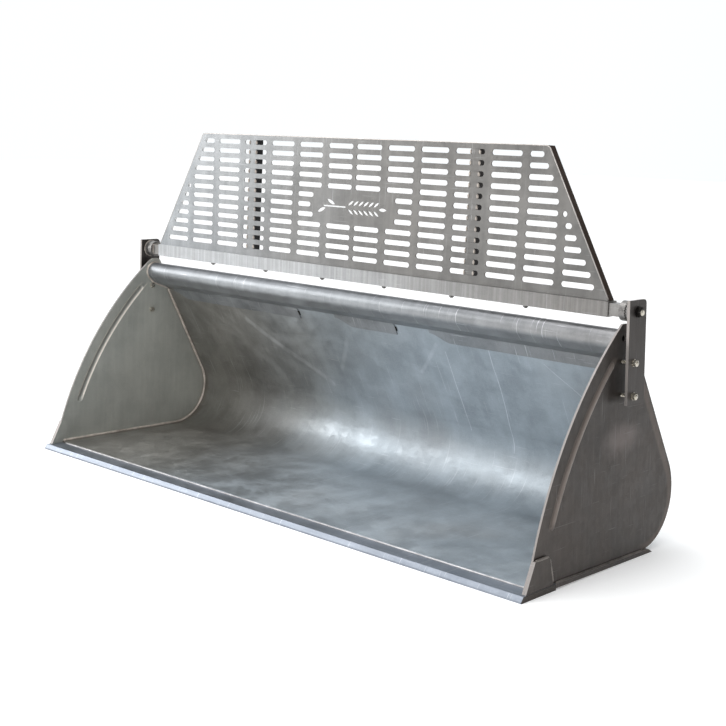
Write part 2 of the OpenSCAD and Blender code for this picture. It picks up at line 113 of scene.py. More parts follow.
class Tree:
    """A new material with short calls for the nodes used here."""

    def __init__(self, name):
        self.material = bpy.data.materials.new(name)
        self.material.use_nodes = True
        self.tree = self.material.node_tree
        self.tree.nodes.clear()
        self.point = self.put("ShaderNodeTexCoord").outputs["Object"]

    def put(self, kind, inputs=None, **props):
        """A node with its properties set, and its inputs linked to sockets or set to values."""
        node = self.tree.nodes.new(kind)
        for key, value in props.items():
            setattr(node, key, value)
        for key, value in (inputs or {}).items():
            if isinstance(value, bpy.types.NodeSocket):
                self.tree.links.new(value, node.inputs[key])
            else:
                node.inputs[key].default_value = value
        return node

    def axes(self, vector):
        return tuple(self.put("ShaderNodeSeparateXYZ", {0: vector}).outputs)

    @cached_property
    def place(self):
        """The X, Y and Z of the shaded point."""
        return self.axes(self.point)

    @cached_property
    def normal(self):
        return self.put("ShaderNodeNewGeometry").outputs["Normal"]

    @cached_property
    def facing(self):
        """The X, Y and Z of the surface normal."""
        return self.axes(self.normal)

    @cached_property
    def outward(self):
        """How far a surface faces away from the middle of the object along X, from -1 to 1."""
        return self.times(self.facing[0], self.math("SIGN", self.place[0]))

    @cached_property
    def profile(self):
        """The shaded point with its X set to 0."""
        return self.vector("MULTIPLY", self.point, (0, 1, 1))

    def noise(self, vector, scale, detail=3.0, rough=0.5, out="Fac"):
        return self.put("ShaderNodeTexNoise", {"Vector": vector, "Scale": scale, "Detail": detail,
                                               "Roughness": rough}).outputs[out]

    def jitter(self, scale, detail, amount):
        """The shaded point, moved by up to amount."""
        colour = self.noise(self.point, scale, detail, out="Color")
        return self.put("ShaderNodeVectorMath", {0: colour, 1: amount, 2: self.point},
                        operation="MULTIPLY_ADD").outputs["Vector"]

    def stretch(self, vector, scale, turn=(0, 0, 0)):
        return self.put("ShaderNodeMapping", {"Vector": vector, "Scale": scale,
                                              "Rotation": turn}).outputs["Vector"]

    def span(self, value, low, high, to_low=0.0, to_high=1.0):
        """A smooth step from to_low at low to to_high at high."""
        return self.put("ShaderNodeMapRange", {"Value": value, "From Min": low, "From Max": high,
                                               "To Min": to_low, "To Max": to_high},
                        interpolation_type="SMOOTHSTEP").outputs["Result"]

    def math(self, how, a, b=0.0, clamp=False):
        return self.put("ShaderNodeMath", {0: a, 1: b}, operation=how, use_clamp=clamp).outputs[0]

    def plus(self, a, b, clamp=False):
        return self.math("ADD", a, b, clamp)

    def minus(self, a, b):
        return self.math("SUBTRACT", a, b)

    def times(self, a, b):
        return self.math("MULTIPLY", a, b)

    def absolute(self, a):
        return self.math("ABSOLUTE", a)

    def blend(self, a, share_a, b, share_b):
        return self.plus(self.times(a, share_a), self.times(b, share_b))

    def centred(self, a, amount):
        """A value from 0 to 1, turned into one from -amount / 2 to amount / 2."""
        return self.times(self.minus(a, 0.5), amount)

    def vector(self, how, a, b=(0, 0, 0), out="Vector"):
        return self.put("ShaderNodeVectorMath", {0: a, 1: b}, operation=how).outputs[out]

    def scaled(self, a, factor):
        return self.put("ShaderNodeVectorMath", {0: tuple(a), "Scale": factor},
                        operation="SCALE").outputs["Vector"]

    def dot(self, a, b):
        return self.vector("DOT_PRODUCT", a, tuple(b), out="Value")

    def distance(self, a, b):
        return self.vector("LENGTH", self.vector("SUBTRACT", a, b), out="Value")

    def mix(self, factor, a, b, how="MIX"):
        node = self.put("ShaderNodeMix", {0: factor, 6: a, 7: b}, data_type="RGBA", blend_type=how)
        return node.outputs[2]

    def bump(self, strength, distance, height, **below):
        """A normal tilted by a height, on top of another normal if Normal is given."""
        return self.put("ShaderNodeBump", {"Strength": strength, "Distance": distance,
                                           "Height": height, **below}).outputs["Normal"]

    def finish(self, colour, **inputs):
        shader = self.put("ShaderNodeBsdfPrincipled", {"Base Color": colour, **inputs})
        self.put("ShaderNodeOutputMaterial", {"Surface": shader.outputs[0]})
        return self.material


def rgb(r, g, b):
    return (r, g, b, 1.0)


# ---- materials: galvanised steel ----------------------------------------------------------------

BROWN = rgb(0.20, 0.155, 0.13)
HAIR = rgb(0.86, 0.87, 0.90)
SCORED = rgb(0.86, 0.88, 0.92)
# Painted highlights on the bead's outer ridge and inner shoulders, painted shade in its hollow
RIDGE_HIGHLIGHT = rgb(0.30, 0.25, 0.22)
SHOULDER_HIGHLIGHT = rgb(0.86, 0.78, 0.70)
HOLLOW_SHADE = rgb(0.20, 0.19, 0.175)
# Painted highlight: the tone of a soft patch on the outer faces
SHEEN_PATCH_TONE = rgb(0.21, 0.175, 0.165)
# Painted shade: the two tones of the outer faces of the side plates and of the cutting edge's ends
SHADED_OUTSIDE = (rgb(0.068, 0.057, 0.050), rgb(0.028, 0.023, 0.020))

# Long scratches on the back sheet: both ends as (x, z), width and depth
SCORES = (
    ((0.301, 0.461), (0.300, 0.200), 0.0018, 0.45),
    ((0.479, 0.493), (0.462, 0.156), 0.0020, 0.50),
    ((0.671, 0.476), (0.769, 0.394), 0.0018, 0.40),
    ((-0.594, 0.450), (-0.267, 0.262), 0.0140, 0.22),
    ((-0.112, 0.443), (-0.194, 0.332), 0.0110, 0.12),
    ((0.273, 0.480), (0.174, 0.376), 0.0090, 0.14),
)


def hair_scratches(t, upright):
    """Two crossing sets of hair-thin scratches, from 0 to 1."""
    across, along = ((5, 260, 7), (300, 9, 300)) if upright else ((260, 6, 6), (9, 300, 300))
    across = t.span(t.noise(t.stretch(t.point, across, (0.15, 0, 0.22)), 1.0, 2), 0.66, 0.74)
    along = t.span(t.noise(t.stretch(t.point, along, (0.1, 0, 0)), 1.0, 2), 0.68, 0.76)
    return t.math("MAXIMUM", across, along)


def painted_sheen_patch(t):
    """A painted highlight: a soft lighter patch in the upper middle of a side plate."""
    centre, half_size = (0, LIP_Y + 0.44, 0.335), (0.10, 0.05)
    way = t.vector("SUBTRACT", t.point, centre)
    way = t.vector("MULTIPLY", way, (0, 1 / half_size[0], 1 / half_size[1]))
    gap = t.plus(t.vector("LENGTH", way, out="Value"), t.times(t.noise(t.point, 22, 4), 0.8))
    return t.span(gap, 0.5, 1.6, 0.5, 0.0)


def plate_faces(t, colour, tone, shaded_outside):
    """The bead is a groove on the inner faces, with a painted highlight on its shoulders and painted
    shade in its hollow, and a ridge with a painted highlight on the outer faces, painted darker as
    shade.
    """
    off = t.absolute(t.minus(t.distance(t.profile, tuple(BEAD_C)), BEAD_R))
    length = t.times(t.span(t.place[2], *BEAD_FOOT), t.span(t.place[2], *BEAD_HEAD, 1.0, 0.0))
    # Painted highlight along the bead's ridge on the outer faces
    ridge = t.times(t.span(off, 0.004, 0.013, 0.6, 0.0), length)
    # The outer faces' painted shade, under the bead's painted highlight
    outer = t.mix(ridge, t.mix(tone, shaded_outside[1], shaded_outside[0]), RIDGE_HIGHLIGHT)
    # Painted highlight patch on the outer faces
    outer = t.mix(painted_sheen_patch(t), outer, SHEEN_PATCH_TONE)
    # Painted highlight on the groove's shoulders and painted shade in its hollow, on the inner faces
    shoulder_highlight = t.span(t.absolute(t.minus(off, 0.0095)), 0.0010, 0.0035, 0.75, 0.0)
    inner = t.mix(t.times(shoulder_highlight, length), colour, SHOULDER_HIGHLIGHT)
    hollow_shade = t.times(t.span(off, 0.002, 0.006, 0.6, 0.0), length)
    inner = t.mix(hollow_shade, inner, HOLLOW_SHADE)
    return t.mix(t.span(t.outward, 0.2, 0.8), inner, outer)


def seam_band(t):
    """A stain along the rear weld, which runs round the bend and up the back sheet."""
    way = t.vector("SUBTRACT", t.profile, tuple(BEND))
    foot = t.scaled(UP, t.math("MAXIMUM", t.dot(way, UP), 0.0))
    gap = t.absolute(t.minus(t.distance(way, foot), BEND_R))
    gap = t.plus(gap, t.times(t.noise(t.point, 14, 4), 0.012))
    return t.times(t.span(gap, 0.010, 0.024, 0.35, 0.0), t.span(t.dot(way, OUT), -0.085, -0.055))


def end_shade_share(t, start, full):
    """How deep the painted shade is, from none at X = start to all of it at X = full."""
    way = 1 if full > start else -1
    x = t.plus(t.place[0], t.centred(t.noise(t.point, 2.4), 0.5))
    return t.span(t.times(x, way), start * way, full * way)


def near_line(t, flat, start, end, width):
    """How near a point is to one straight scratch, from 0 to 1."""
    a, b = Vector((start[0], 0, start[1])), Vector((end[0], 0, end[1]))
    line = b - a
    way = t.vector("SUBTRACT", flat, tuple(a))
    share = t.math("DIVIDE", t.dot(way, line), line.length_squared, clamp=True)
    return t.span(t.distance(way, t.scaled(line, share)), 0.25 * width, width, 1.0, 0.0)


def score_marks(t, scores):
    """Long scratches on the inside of the back sheet, slightly wavy and broken up."""
    sway = 0.02
    flat = t.vector("SUBTRACT", t.jitter(5.0, 1.0, (sway, 0, sway)), (sway / 2, 0, sway / 2))
    flat = t.vector("MULTIPLY", flat, (1, 0, 1))
    marks = 0.0
    for start, end, width, depth in scores:
        marks = t.math("MAXIMUM", t.times(near_line(t, flat, start, end, width), depth), marks)
    marks = t.times(marks, t.span(t.dot(t.normal, -OUT), 0.2, 0.6))
    return t.times(marks, t.span(t.noise(t.point, 30), 0.30, 0.60, 0.45, 1.0))


def zinc(name, light, dark, stain, rough=(0.28, 0.46), metal=0.92, cell=0.016, crystals=0.10,
         streak=(34, 1.2, 1.2), streaks=0.25, scratch=0.3, stains=0.4, wave=0.35, upright=False,
         shaded_outside=None, seam=False, rim=None, flank_shading=None, top_shade=None, edges=0.0, end_shade_tint=None,
         scores=()):
    """Hot-dip galvanised steel.

    light, dark, stain: the two tones of the zinc, and the colour of its stains.
    cell, crystals: size and contrast of the zinc crystals.
    streak, streaks: how the rub marks are stretched, and their share of the tone.
    scratch, stains, wave: strength of the hair scratches, the stains and the buckling.
    upright: the hair scratches run up a side plate instead of along the object.
    shaded_outside: two darker tones for the outer faces, painted shade.
    seam: a stain along the rear weld.
    rim: colour of the faces that look away from X: a painted highlight on the brackets' edges and a
    darker tone on the side plates' edges. flank_shading: painted shade and painted light, tones for
    the outward and inward faces along X.
    top_shade: painted shade, a darker tint on the upper faces. edges: strength of a stain at both
    ends of the object.
    end_shade_tint: the X where a painted tint starts and is full, and its tint: painted shade towards
    one end, and on the shell a painted brown reflection. scores: long scratches.
    """
    t = Tree(name)
    warped = t.jitter(55.0, 2.0, (0.012, 0.012, 0.012))
    cells = t.put("ShaderNodeTexVoronoi", {"Vector": warped, "Scale": 1.0 / cell}).outputs["Color"]
    grain = t.put("ShaderNodeSeparateColor", {0: cells}).outputs[0]
    cloud = t.blend(t.span(t.noise(t.point, 2.9), 0.34, 0.66), 0.55,
                    t.span(t.noise(warped, 13, rough=0.6), 0.36, 0.64), 0.45)
    smear = t.span(t.noise(t.stretch(t.point, streak), 1.0, 5, 0.62), 0.40, 0.66)
    fine = t.noise(t.point, 260, 2)
    hairs = hair_scratches(t, upright)
    tone = t.blend(cloud, 1.0 - streaks, smear, streaks)
    tone = t.plus(tone, t.centred(grain, 2 * crystals))
    tone = t.plus(tone, t.centred(fine, 0.45), clamp=True)
    colour = t.mix(tone, dark, light)
    spots = t.times(t.span(t.noise(t.point, 2.6), 0.50, 0.80), stains)
    # Painted shade on the outer faces, with the bead's painted highlights and shade
    if shaded_outside:
        colour = plate_faces(t, colour, tone, shaded_outside)
    if seam:
        spots = t.math("MAXIMUM", spots, seam_band(t))
    # Faces that look away from X take the rim tone: a painted highlight on the brackets' edges
    if rim:
        colour = t.mix(t.span(t.absolute(t.facing[0]), 0.3, 0.7, 1.0, 0.0), colour, rim)
    # Painted shade and painted light: one tone for the outward faces along X, another for the inward
    # ones
    if flank_shading:
        colour = t.mix(t.span(t.outward, 0.4, 0.8), colour, flank_shading[0])
        colour = t.mix(t.span(t.outward, -0.8, -0.4, 1.0, 0.0), colour, flank_shading[1])
    # Painted shade: the upper faces darkened to dim their highlight
    if top_shade:
        colour = t.mix(t.span(t.facing[2], 0.1, 0.8), colour, top_shade, "MULTIPLY")
    if edges:
        reach = t.plus(t.absolute(t.place[0]), t.times(t.noise(t.point, 11, 4), 0.05))
        spots = t.math("MAXIMUM", spots, t.span(reach, 0.985, 1.015, 0.0, edges))
    colour = t.mix(spots, colour, stain)
    # Painted shade and painted reflection: a tint that deepens towards one end of the object
    if end_shade_tint:
        start, full, tint = end_shade_tint
        colour = t.mix(end_shade_share(t, start, full), colour, tint, "MULTIPLY")
    if scores:
        colour = t.mix(score_marks(t, scores), colour, SCORED)
    colour = t.mix(t.times(hairs, scratch), colour, HAIR)
    dull = t.minus(t.blend(grain, 0.35, cloud, 0.65), t.times(hairs, 0.3 * scratch))
    dull = t.plus(dull, t.times(spots, 0.5))
    buckle = t.noise(t.stretch(t.point, (1.0, 1.6, 1.6)), 4.6, 4, 0.42)
    relief = t.minus(t.blend(grain, 0.4, fine, 0.6), t.times(hairs, 0.4 * scratch))
    normal = t.bump(0.22, 0.0006, relief, Normal=t.bump(wave, 0.02, buckle))
    return t.finish(colour, Metallic=metal, Roughness=t.span(dull, 0.0, 1.2, *rough), Normal=normal)


def weld_metal(name, dark, light, metal):
    """Cloudy grey weld metal with a fine grain."""
    t = Tree(name)
    cloud = t.blend(t.span(t.noise(t.point, 5), 0.35, 0.65), 0.6,
                    t.span(t.noise(t.point, 40, 4, 0.6), 0.35, 0.65), 0.4)
    fine = t.noise(t.point, 420, 2)
    return t.finish(t.mix(cloud, dark, light), Metallic=metal,
                    Roughness=t.span(fine, 0.3, 0.7, 0.34, 0.5), Normal=t.bump(0.5, 0.001, fine))


GUARD = dict(light=rgb(0.336, 0.348, 0.358), dark=rgb(0.235, 0.245, 0.253),
             stain=rgb(0.26, 0.24, 0.22), rough=(0.34, 0.48), metal=0.85, stains=0.15, wave=0.15,
             # end_shade_tint: painted shade, darker towards the right end
             end_shade_tint=(-1.00, 0.15, rgb(0.60, 0.56, 0.52)))
LOOKS = {
    "shell_zinc": dict(
        light=rgb(0.47, 0.52, 0.56), dark=rgb(0.29, 0.32, 0.345), stain=rgb(0.20, 0.185, 0.175),
        rough=(0.34, 0.60), metal=0.80, streaks=0.30, scratch=0.22, stains=0.38, wave=0.42,
        # end_shade_tint: painted reflection of the brown side plate, darker and browner towards the
        # left end
        crystals=0.03, streak=(7, 1.4, 1.4), edges=0.5, end_shade_tint=(-0.10, -0.80, rgb(0.84, 0.74, 0.64)),
        scores=SCORES),
    "edge_zinc": dict(
        light=rgb(0.29, 0.315, 0.36), dark=rgb(0.18, 0.20, 0.235), stain=rgb(0.16, 0.16, 0.16),
        rough=(0.34, 0.50), metal=0.8, streak=(3, 60, 60), scratch=0.22, stains=0.2, wave=0.15,
        # shaded_outside: painted shade on the outer end faces
        shaded_outside=SHADED_OUTSIDE),
    "plate_zinc": dict(
        light=rgb(0.51, 0.515, 0.47), dark=rgb(0.38, 0.385, 0.355), stain=BROWN,
        rough=(0.36, 0.56), metal=0.38, streak=(3, 60, 5), streaks=0.22, stains=0.12, wave=0.26,
        # shaded_outside: painted shade on the outer faces
        scratch=0.07, rim=rgb(0.25, 0.23, 0.22), seam=True, crystals=0.02, shaded_outside=SHADED_OUTSIDE,
        upright=True),
    "beam_zinc": dict(
        light=rgb(0.36, 0.375, 0.39), dark=rgb(0.22, 0.23, 0.24), stain=rgb(0.20, 0.18, 0.16),
        rough=(0.34, 0.52), metal=0.75, streak=(12, 2, 2), stains=0.25, wave=0.30, scratch=0.4,
        # end_shade_tint: painted shade towards the right end; top_shade: painted shade on the upper
        # faces
        edges=0.5, end_shade_tint=(0.10, 0.95, rgb(0.90, 0.86, 0.83)), top_shade=rgb(0.72, 0.72, 0.735)),
    "bracket_zinc": dict(
        light=rgb(0.085, 0.076, 0.071), dark=rgb(0.050, 0.044, 0.041), stain=BROWN,
        # rim: painted highlight on the bracket's edges
        rough=(0.36, 0.52), metal=0.65, stains=0.15, wave=0.12, rim=rgb(0.30, 0.275, 0.26),
        streak=(3, 60, 5), scratch=0.08, upright=True),
    "hook_zinc": dict(
        light=rgb(0.20, 0.188, 0.178), dark=rgb(0.115, 0.106, 0.10), stain=BROWN,
        rough=(0.36, 0.52), metal=0.65, stains=0.2, wave=0.15, scratch=0.1, upright=True),
    "disc_zinc": dict(
        light=rgb(0.30, 0.295, 0.285), dark=rgb(0.14, 0.13, 0.125), stain=BROWN,
        rough=(0.34, 0.50), metal=0.8, stains=0.3, wave=0.1, upright=True),
    "guard_zinc": dict(
        GUARD, streak=(26, 3, 1.2), streaks=0.45, scratch=0.12,
        # flank_shading: painted shade on the rims' outward faces, painted light on their inward faces
        flank_shading=(rgb(0.125, 0.085, 0.066), rgb(0.60, 0.60, 0.60))),
    # The stiffeners' sides are painted nearly black: painted shade between the stiffeners and the sheet
    "stiffener_shaded_zinc": dict(
        GUARD, flank_shading=(rgb(0.03, 0.03, 0.032), rgb(0.03, 0.03, 0.032))),
    # Lighter zinc for the guard's folds: a painted highlight along them
    "fold_highlight_zinc": dict(
        light=rgb(0.60, 0.56, 0.53), dark=rgb(0.42, 0.39, 0.37), stain=rgb(0.30, 0.27, 0.25),
        rough=(0.28, 0.40), metal=0.7, scratch=0.1, stains=0.2, wave=0.05),
    "tube_zinc": dict(
        light=rgb(0.50, 0.51, 0.52), dark=rgb(0.34, 0.345, 0.35), stain=rgb(0.27, 0.25, 0.23),
        rough=(0.30, 0.44), metal=0.85, streak=(95, 3, 1.5), streaks=0.6, scratch=0.15, stains=0.2,
        # end_shade_tint: painted shade, darker towards the right end
        wave=0.12, crystals=0.05, end_shade_tint=(-0.70, 0.95, rgb(0.50, 0.47, 0.44))),
    "stub_zinc": dict(
        light=rgb(0.30, 0.295, 0.285), dark=rgb(0.19, 0.18, 0.17), stain=rgb(0.24, 0.20, 0.17),
        rough=(0.32, 0.48), metal=0.8, stains=0.3, wave=0.1),
    "fastener_zinc": dict(
        light=rgb(0.66, 0.62, 0.54), dark=rgb(0.40, 0.37, 0.31), stain=rgb(0.34, 0.29, 0.20),
        rough=(0.20, 0.32), stains=0.2, wave=0.05, cell=0.004),
    "screw_zinc": dict(
        light=rgb(0.20, 0.195, 0.185), dark=rgb(0.10, 0.097, 0.092), stain=rgb(0.12, 0.10, 0.08),
        rough=(0.28, 0.42), metal=0.8, stains=0.2, wave=0.05, cell=0.004),
    "dark_washer": dict(
        light=rgb(0.04, 0.037, 0.034), dark=rgb(0.02, 0.018, 0.017), stain=rgb(0.07, 0.05, 0.04),
        rough=(0.35, 0.5), stains=0.3, wave=0.05),
}
WELDS = {
    "weld_bead": (rgb(0.30, 0.26, 0.23), rgb(0.52, 0.47, 0.42), 0.5),
    "seam_bead": (rgb(0.30, 0.255, 0.22), rgb(0.72, 0.65, 0.58), 0.25),
    "lip_bead": (rgb(0.32, 0.31, 0.31), rgb(0.66, 0.65, 0.65), 0.5),
    "foot_bead": (rgb(0.09, 0.078, 0.070), rgb(0.24, 0.215, 0.195), 0.4),
}
MATERIALS = {name: zinc(name, **look) for name, look in LOOKS.items()}
MATERIALS.update({name: weld_metal(name, *look) for name, look in WELDS.items()})

# CAD nodes that look different from the rest of their slot
OWN_LOOK = {"guard_tube": "tube_zinc", "sheet_screws": "screw_zinc", "sheet_nuts": "screw_zinc",
            "stiffener_left": "stiffener_shaded_zinc", "stiffener_right": "stiffener_shaded_zinc",
            "hitch_hook_left": "hook_zinc", "hitch_hook_right": "hook_zinc"}

slot_of = {s["node"]: s["material_slot"] for s in frame["record"]["subparts"]}
for name, thing in nodes.items():
    material = MATERIALS[OWN_LOOK.get(name, slot_of[name])]
    if not thing.material_slots:
        thing.data.materials.append(material)
    for held in thing.material_slots:
        held.material = material


# ---- mesh helpers -------------------------------------------------------------------------------
# A shape is a pair of lists, its points and its faces.

SIDES = (("left", -1), ("right", 1))
SHARP = math.radians(35)


def piece(name, shape, body, slot, look=None):
    """A smooth shaded object that rides on a body. Its look is its slot's unless one is named."""
    verts, faces = shape
    mesh = bpy.data.meshes.new(name)
    mesh.from_pydata([tuple(v) for v in verts], [], faces)
    mesh.update()
    mesh.polygons.foreach_set("use_smooth", [True] * len(mesh.polygons))
    thing = bpy.data.objects.new(name, mesh)
    bpy.context.scene.collection.objects.link(thing)
    mesh.materials.append(MATERIALS[look or slot])
    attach(thing, body)
    return thing


def sharpen(thing):
    """Keeps the edges sharp that turn by more than SHARP."""
    mesh = thing.data
    normals = [p.normal.copy() for p in mesh.polygons]
    owner = {}
    for p in mesh.polygons:
        for key in p.edge_keys:
            owner.setdefault(key, []).append(p.index)
    for edge in mesh.edges:
        held = owner.get(edge.key, [])
        if len(held) == 2 and normals[held[0]].angle(normals[held[1]], 0) > SHARP:
            edge.use_edge_sharp = True


def joined(a, b):
    """Two shapes as one."""
    n = len(a[0])
    return a[0] + b[0], a[1] + [tuple(i + n for i in face) for face in b[1]]


def strip(faces, first, rings, sides):
    """The faces of a closed tube whose rings of points start at first, with its two ends."""
    for i in range(rings - 1):
        for k in range(sides):
            a = first + i * sides + k
            b = first + i * sides + (k + 1) % sides
            faces.append((a, b, b + sides, a + sides))
    faces.append(tuple(range(first + sides - 1, first - 1, -1)))
    last = first + (rings - 1) * sides
    faces.append(tuple(range(last, last + sides)))


def ring(centre, side, other, radius, sides):
    """Points round a circle, in the plane of two unit vectors."""
    turns = [2 * math.pi * k / sides for k in range(sides)]
    return [centre + side * (radius * math.cos(w)) + other * (radius * math.sin(w)) for w in turns]


def resample(path, step):
    """Points a step apart along a path."""
    out = [path[0].copy()]
    left = step
    for a, b in zip(path, path[1:]):
        length = (b - a).length
        done = 0.0
        while length - done >= left:
            done += left
            out.append(a.lerp(b, done / length))
            left = step
        left -= length - done
    return out


def bead(paths, radius, pitch=0.007):
    """Weld beads along paths: rounded tubes with ripples, uneven widths and tapered ends."""
    sides, per_ripple = 8, 2.6
    verts, faces = [], []
    for path in paths:
        points = resample(path, pitch / per_ripple)
        if len(points) < 3:
            continue
        side = None
        first = len(verts)
        for i, p in enumerate(points):
            ahead = (points[min(i + 1, len(points) - 1)] - points[max(i - 1, 0)]).normalized()
            if side is None:
                side = ahead.orthogonal().normalized()
            side = (side - ahead * side.dot(ahead)).normalized()
            s = i * pitch / per_ripple
            r = radius * (0.86 + 0.2 * abs(math.sin(math.pi * s / pitch)))
            r *= 1 + 0.12 * math.sin(s * 61 + first) + random.uniform(-0.04, 0.04)
            r *= min(1.0, 0.35 + 0.65 * min(i, len(points) - 1 - i) / 2.0)
            verts += ring(p, side, ahead.cross(side), r, sides)
        strip(faces, first, len(points), sides)
    return verts, faces


def rod(points, radius):
    """A smooth closed tube along points, for a line that nowhere runs along Y."""
    sides = 8
    verts, faces = [], []
    for i, p in enumerate(points):
        ahead = (points[min(i + 1, len(points) - 1)] - points[max(i - 1, 0)]).normalized()
        side = ahead.cross(Vector((0, 1, 0))).normalized()
        verts += ring(p, side, ahead.cross(side), radius, sides)
    strip(faces, 0, len(points), sides)
    return verts, faces


def hexagon(shape, x0, x1, y, z, flats):
    """Adds a hexagon along X, with its corners turned down at both ends."""
    verts, faces = shape
    first, n = len(verts), 36
    way = 1 if x1 > x0 else -1
    for x, inward in ((x0, 1), (x1, -1)):
        outer, inner = [], []
        for k in range(n):
            w = 2 * math.pi * k / n
            r = flats / 2 / math.cos((w % (math.pi / 3)) - math.pi / 6)
            drop = max(0.0, r - flats * 0.49) * 0.6
            outer.append(Vector((x + way * inward * drop, y + r * math.cos(w), z + r * math.sin(w))))
            r = flats * 0.475
            inner.append(Vector((x, y + r * math.cos(w), z + r * math.sin(w))))
        verts += outer + inner
    for k in range(n):
        j = (k + 1) % n
        faces.append((first + k, first + j, first + 2 * n + j, first + 2 * n + k))
        faces.append((first + n + k, first + n + j, first + j, first + k))
        faces.append((first + 2 * n + k, first + 2 * n + j, first + 3 * n + j, first + 3 * n + k))
    faces.append(tuple(first + n + k for k in range(n - 1, -1, -1)))
    faces.append(tuple(first + 3 * n + k for k in range(n)))


def stud(shape, x0, x1, y, z, r, pitch):
    """Adds a threaded stud along X: a helical ridge with a chamfered end at x1."""
    verts, faces = shape
    sides = 24
    length = abs(x1 - x0)
    way = 1 if x1 > x0 else -1
    count = int(length / (pitch / 5))
    first = len(verts)
    for i in range(count + 1):
        s = length * i / count
        tip = min(1.0, 0.82 + (length - s) / (pitch * 5))
        for k in range(sides):
            turn = (s / pitch - k / sides) % 1.0
            w = 2 * math.pi * k / sides
            rr = (r - 0.55 * pitch * abs(2 * turn - 1)) * tip
            verts.append(Vector((x0 + way * s, y + rr * math.cos(w), z + rr * math.sin(w))))
    strip(faces, first, count + 1, sides)


def both_sides(shape):
    """A shape drawn square to the right side plate, put on that plate and mirrored to the left.

    Its X is the distance out of the plate's outer face, its Z the distance up that face.
    """
    verts, faces = shape
    c, d = math.cos(LEAN), math.sin(LEAN)
    right = [Vector((HALF + v.x * c - (v.z - FOOT_Z) * d, v.y, FOOT_Z + v.x * d + (v.z - FOOT_Z) * c))
             for v in verts]
    left = [Vector((-v.x, v.y, v.z)) for v in right]
    n = len(right)
    return right + left, faces + [tuple(n + i for i in reversed(face)) for face in faces]


# ---- fasteners ----------------------------------------------------------------------------------

# Bracket bolts: their place, and their sizes with those of the pivot bolts. A washer's size
# includes the gap on either side, and past is the length of thread beyond the washer.
FIX_Y, FIX_Z = LIP_Y + 0.432, (0.454, 0.541)
M10 = dict(flats=0.017, r=0.005, pitch=0.0015, head=0.0064, thin=0.005, nut=0.008, washer=0.0021,
           past=0.011)
M16 = dict(flats=0.024, r=0.008, pitch=0.002, nut=0.008, washer=0.0031)

bolt, nut = ([], []), ([], [])
seat = STAND_OFF + BAR_T + M10["washer"]
for z in FIX_Z:
    at = (FIX_Y, z)
    hexagon(bolt, -PLATE_T - GAP - M10["head"], -PLATE_T - GAP, *at, M10["flats"])
    stud(bolt, -PLATE_T, seat + M10["past"], *at, M10["r"], M10["pitch"])
    hexagon(nut, STAND_OFF - GAP - M10["thin"], STAND_OFF - GAP, *at, M10["flats"])
    hexagon(nut, seat, seat + M10["nut"], *at, M10["flats"])
bolts = piece("bracket_bolt_set", both_sides(bolt), "bucket", "fastener_zinc")
sharpen(bolts)
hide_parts("bracket_bolts")
nuts = piece("bracket_nut_set", both_sides(nut), "bucket", "fastener_zinc")
sharpen(nuts)
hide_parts("bracket_nuts")

bolt_low, bolt_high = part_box("pivot_bolt_right")
axle_y, axle_z = (bolt_low.y + bolt_high.y) / 2, (bolt_low.z + bolt_high.z) / 2
nut = ([], [])
seat = STAND_OFF + BAR_T + M16["washer"]
hexagon(nut, seat, seat + M16["nut"], axle_y, axle_z, M16["flats"])
pivot_nuts = piece("pivot_nut_pair", both_sides(nut), "bucket", "dark_washer")
sharpen(pivot_nuts)
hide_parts("pivot_nuts")

# Each pivot bolt is a thread on a square shank, which sits in the stub
SHANK_HALF, SHANK_L, THREAD_START = 0.012, 0.010, 0.009
SQUARE = ((-1, -1), (1, -1), (1, 1), (-1, 1))
SHANK_FACES = ((0, 1, 2, 3), (7, 6, 5, 4), (0, 4, 5, 1), (1, 5, 6, 2), (2, 6, 7, 3), (3, 7, 4, 0))
for side, s in SIDES:
    low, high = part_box("pivot_bolt_" + side)
    inner, end = (low.x, high.x) if s > 0 else (high.x, low.x)
    thread = ([], [])
    stud(thread, inner + s * THREAD_START, end, axle_y, axle_z, M16["r"], M16["pitch"])
    shank = [Vector((inner + s * dx, axle_y + dy * SHANK_HALF, axle_z + dz * SHANK_HALF))
             for dx in (0, SHANK_L) for dy, dz in SQUARE]
    bolt = piece("pivot_bolt_thread_" + side, joined(thread, (shank, SHANK_FACES)), "stub_" + side,
                 "fastener_zinc")
    sharpen(bolt)
    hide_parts("pivot_bolt_" + side)


# ---- bucket welds -------------------------------------------------------------------------------

FLOOR_FRONT, FLOOR_REAR = LIP_Y + 0.064, LIP_Y + 0.146
APRON_FOOT = Vector((0, LIP_Y + 0.503, APRON_Z))
CORNER_TOP = 0.0925


def shell_line(g, z_top):
    """Points on the shell's inside face, moved g into the sheet, from the lip to height z_top."""
    r = BEND_R + g
    floor_z = EDGE_TOP + SHEET - g
    line = [Vector((0, FLOOR_FRONT, floor_z)), Vector((0, FLOOR_REAR, floor_z))]
    line += [round_x(BEND, r, -90 + (90 + 28.9) * k / 24) for k in range(25)]
    start = BEND + r * OUT
    line.append(start + UP * ((z_top - start.z) / UP.z))
    return line


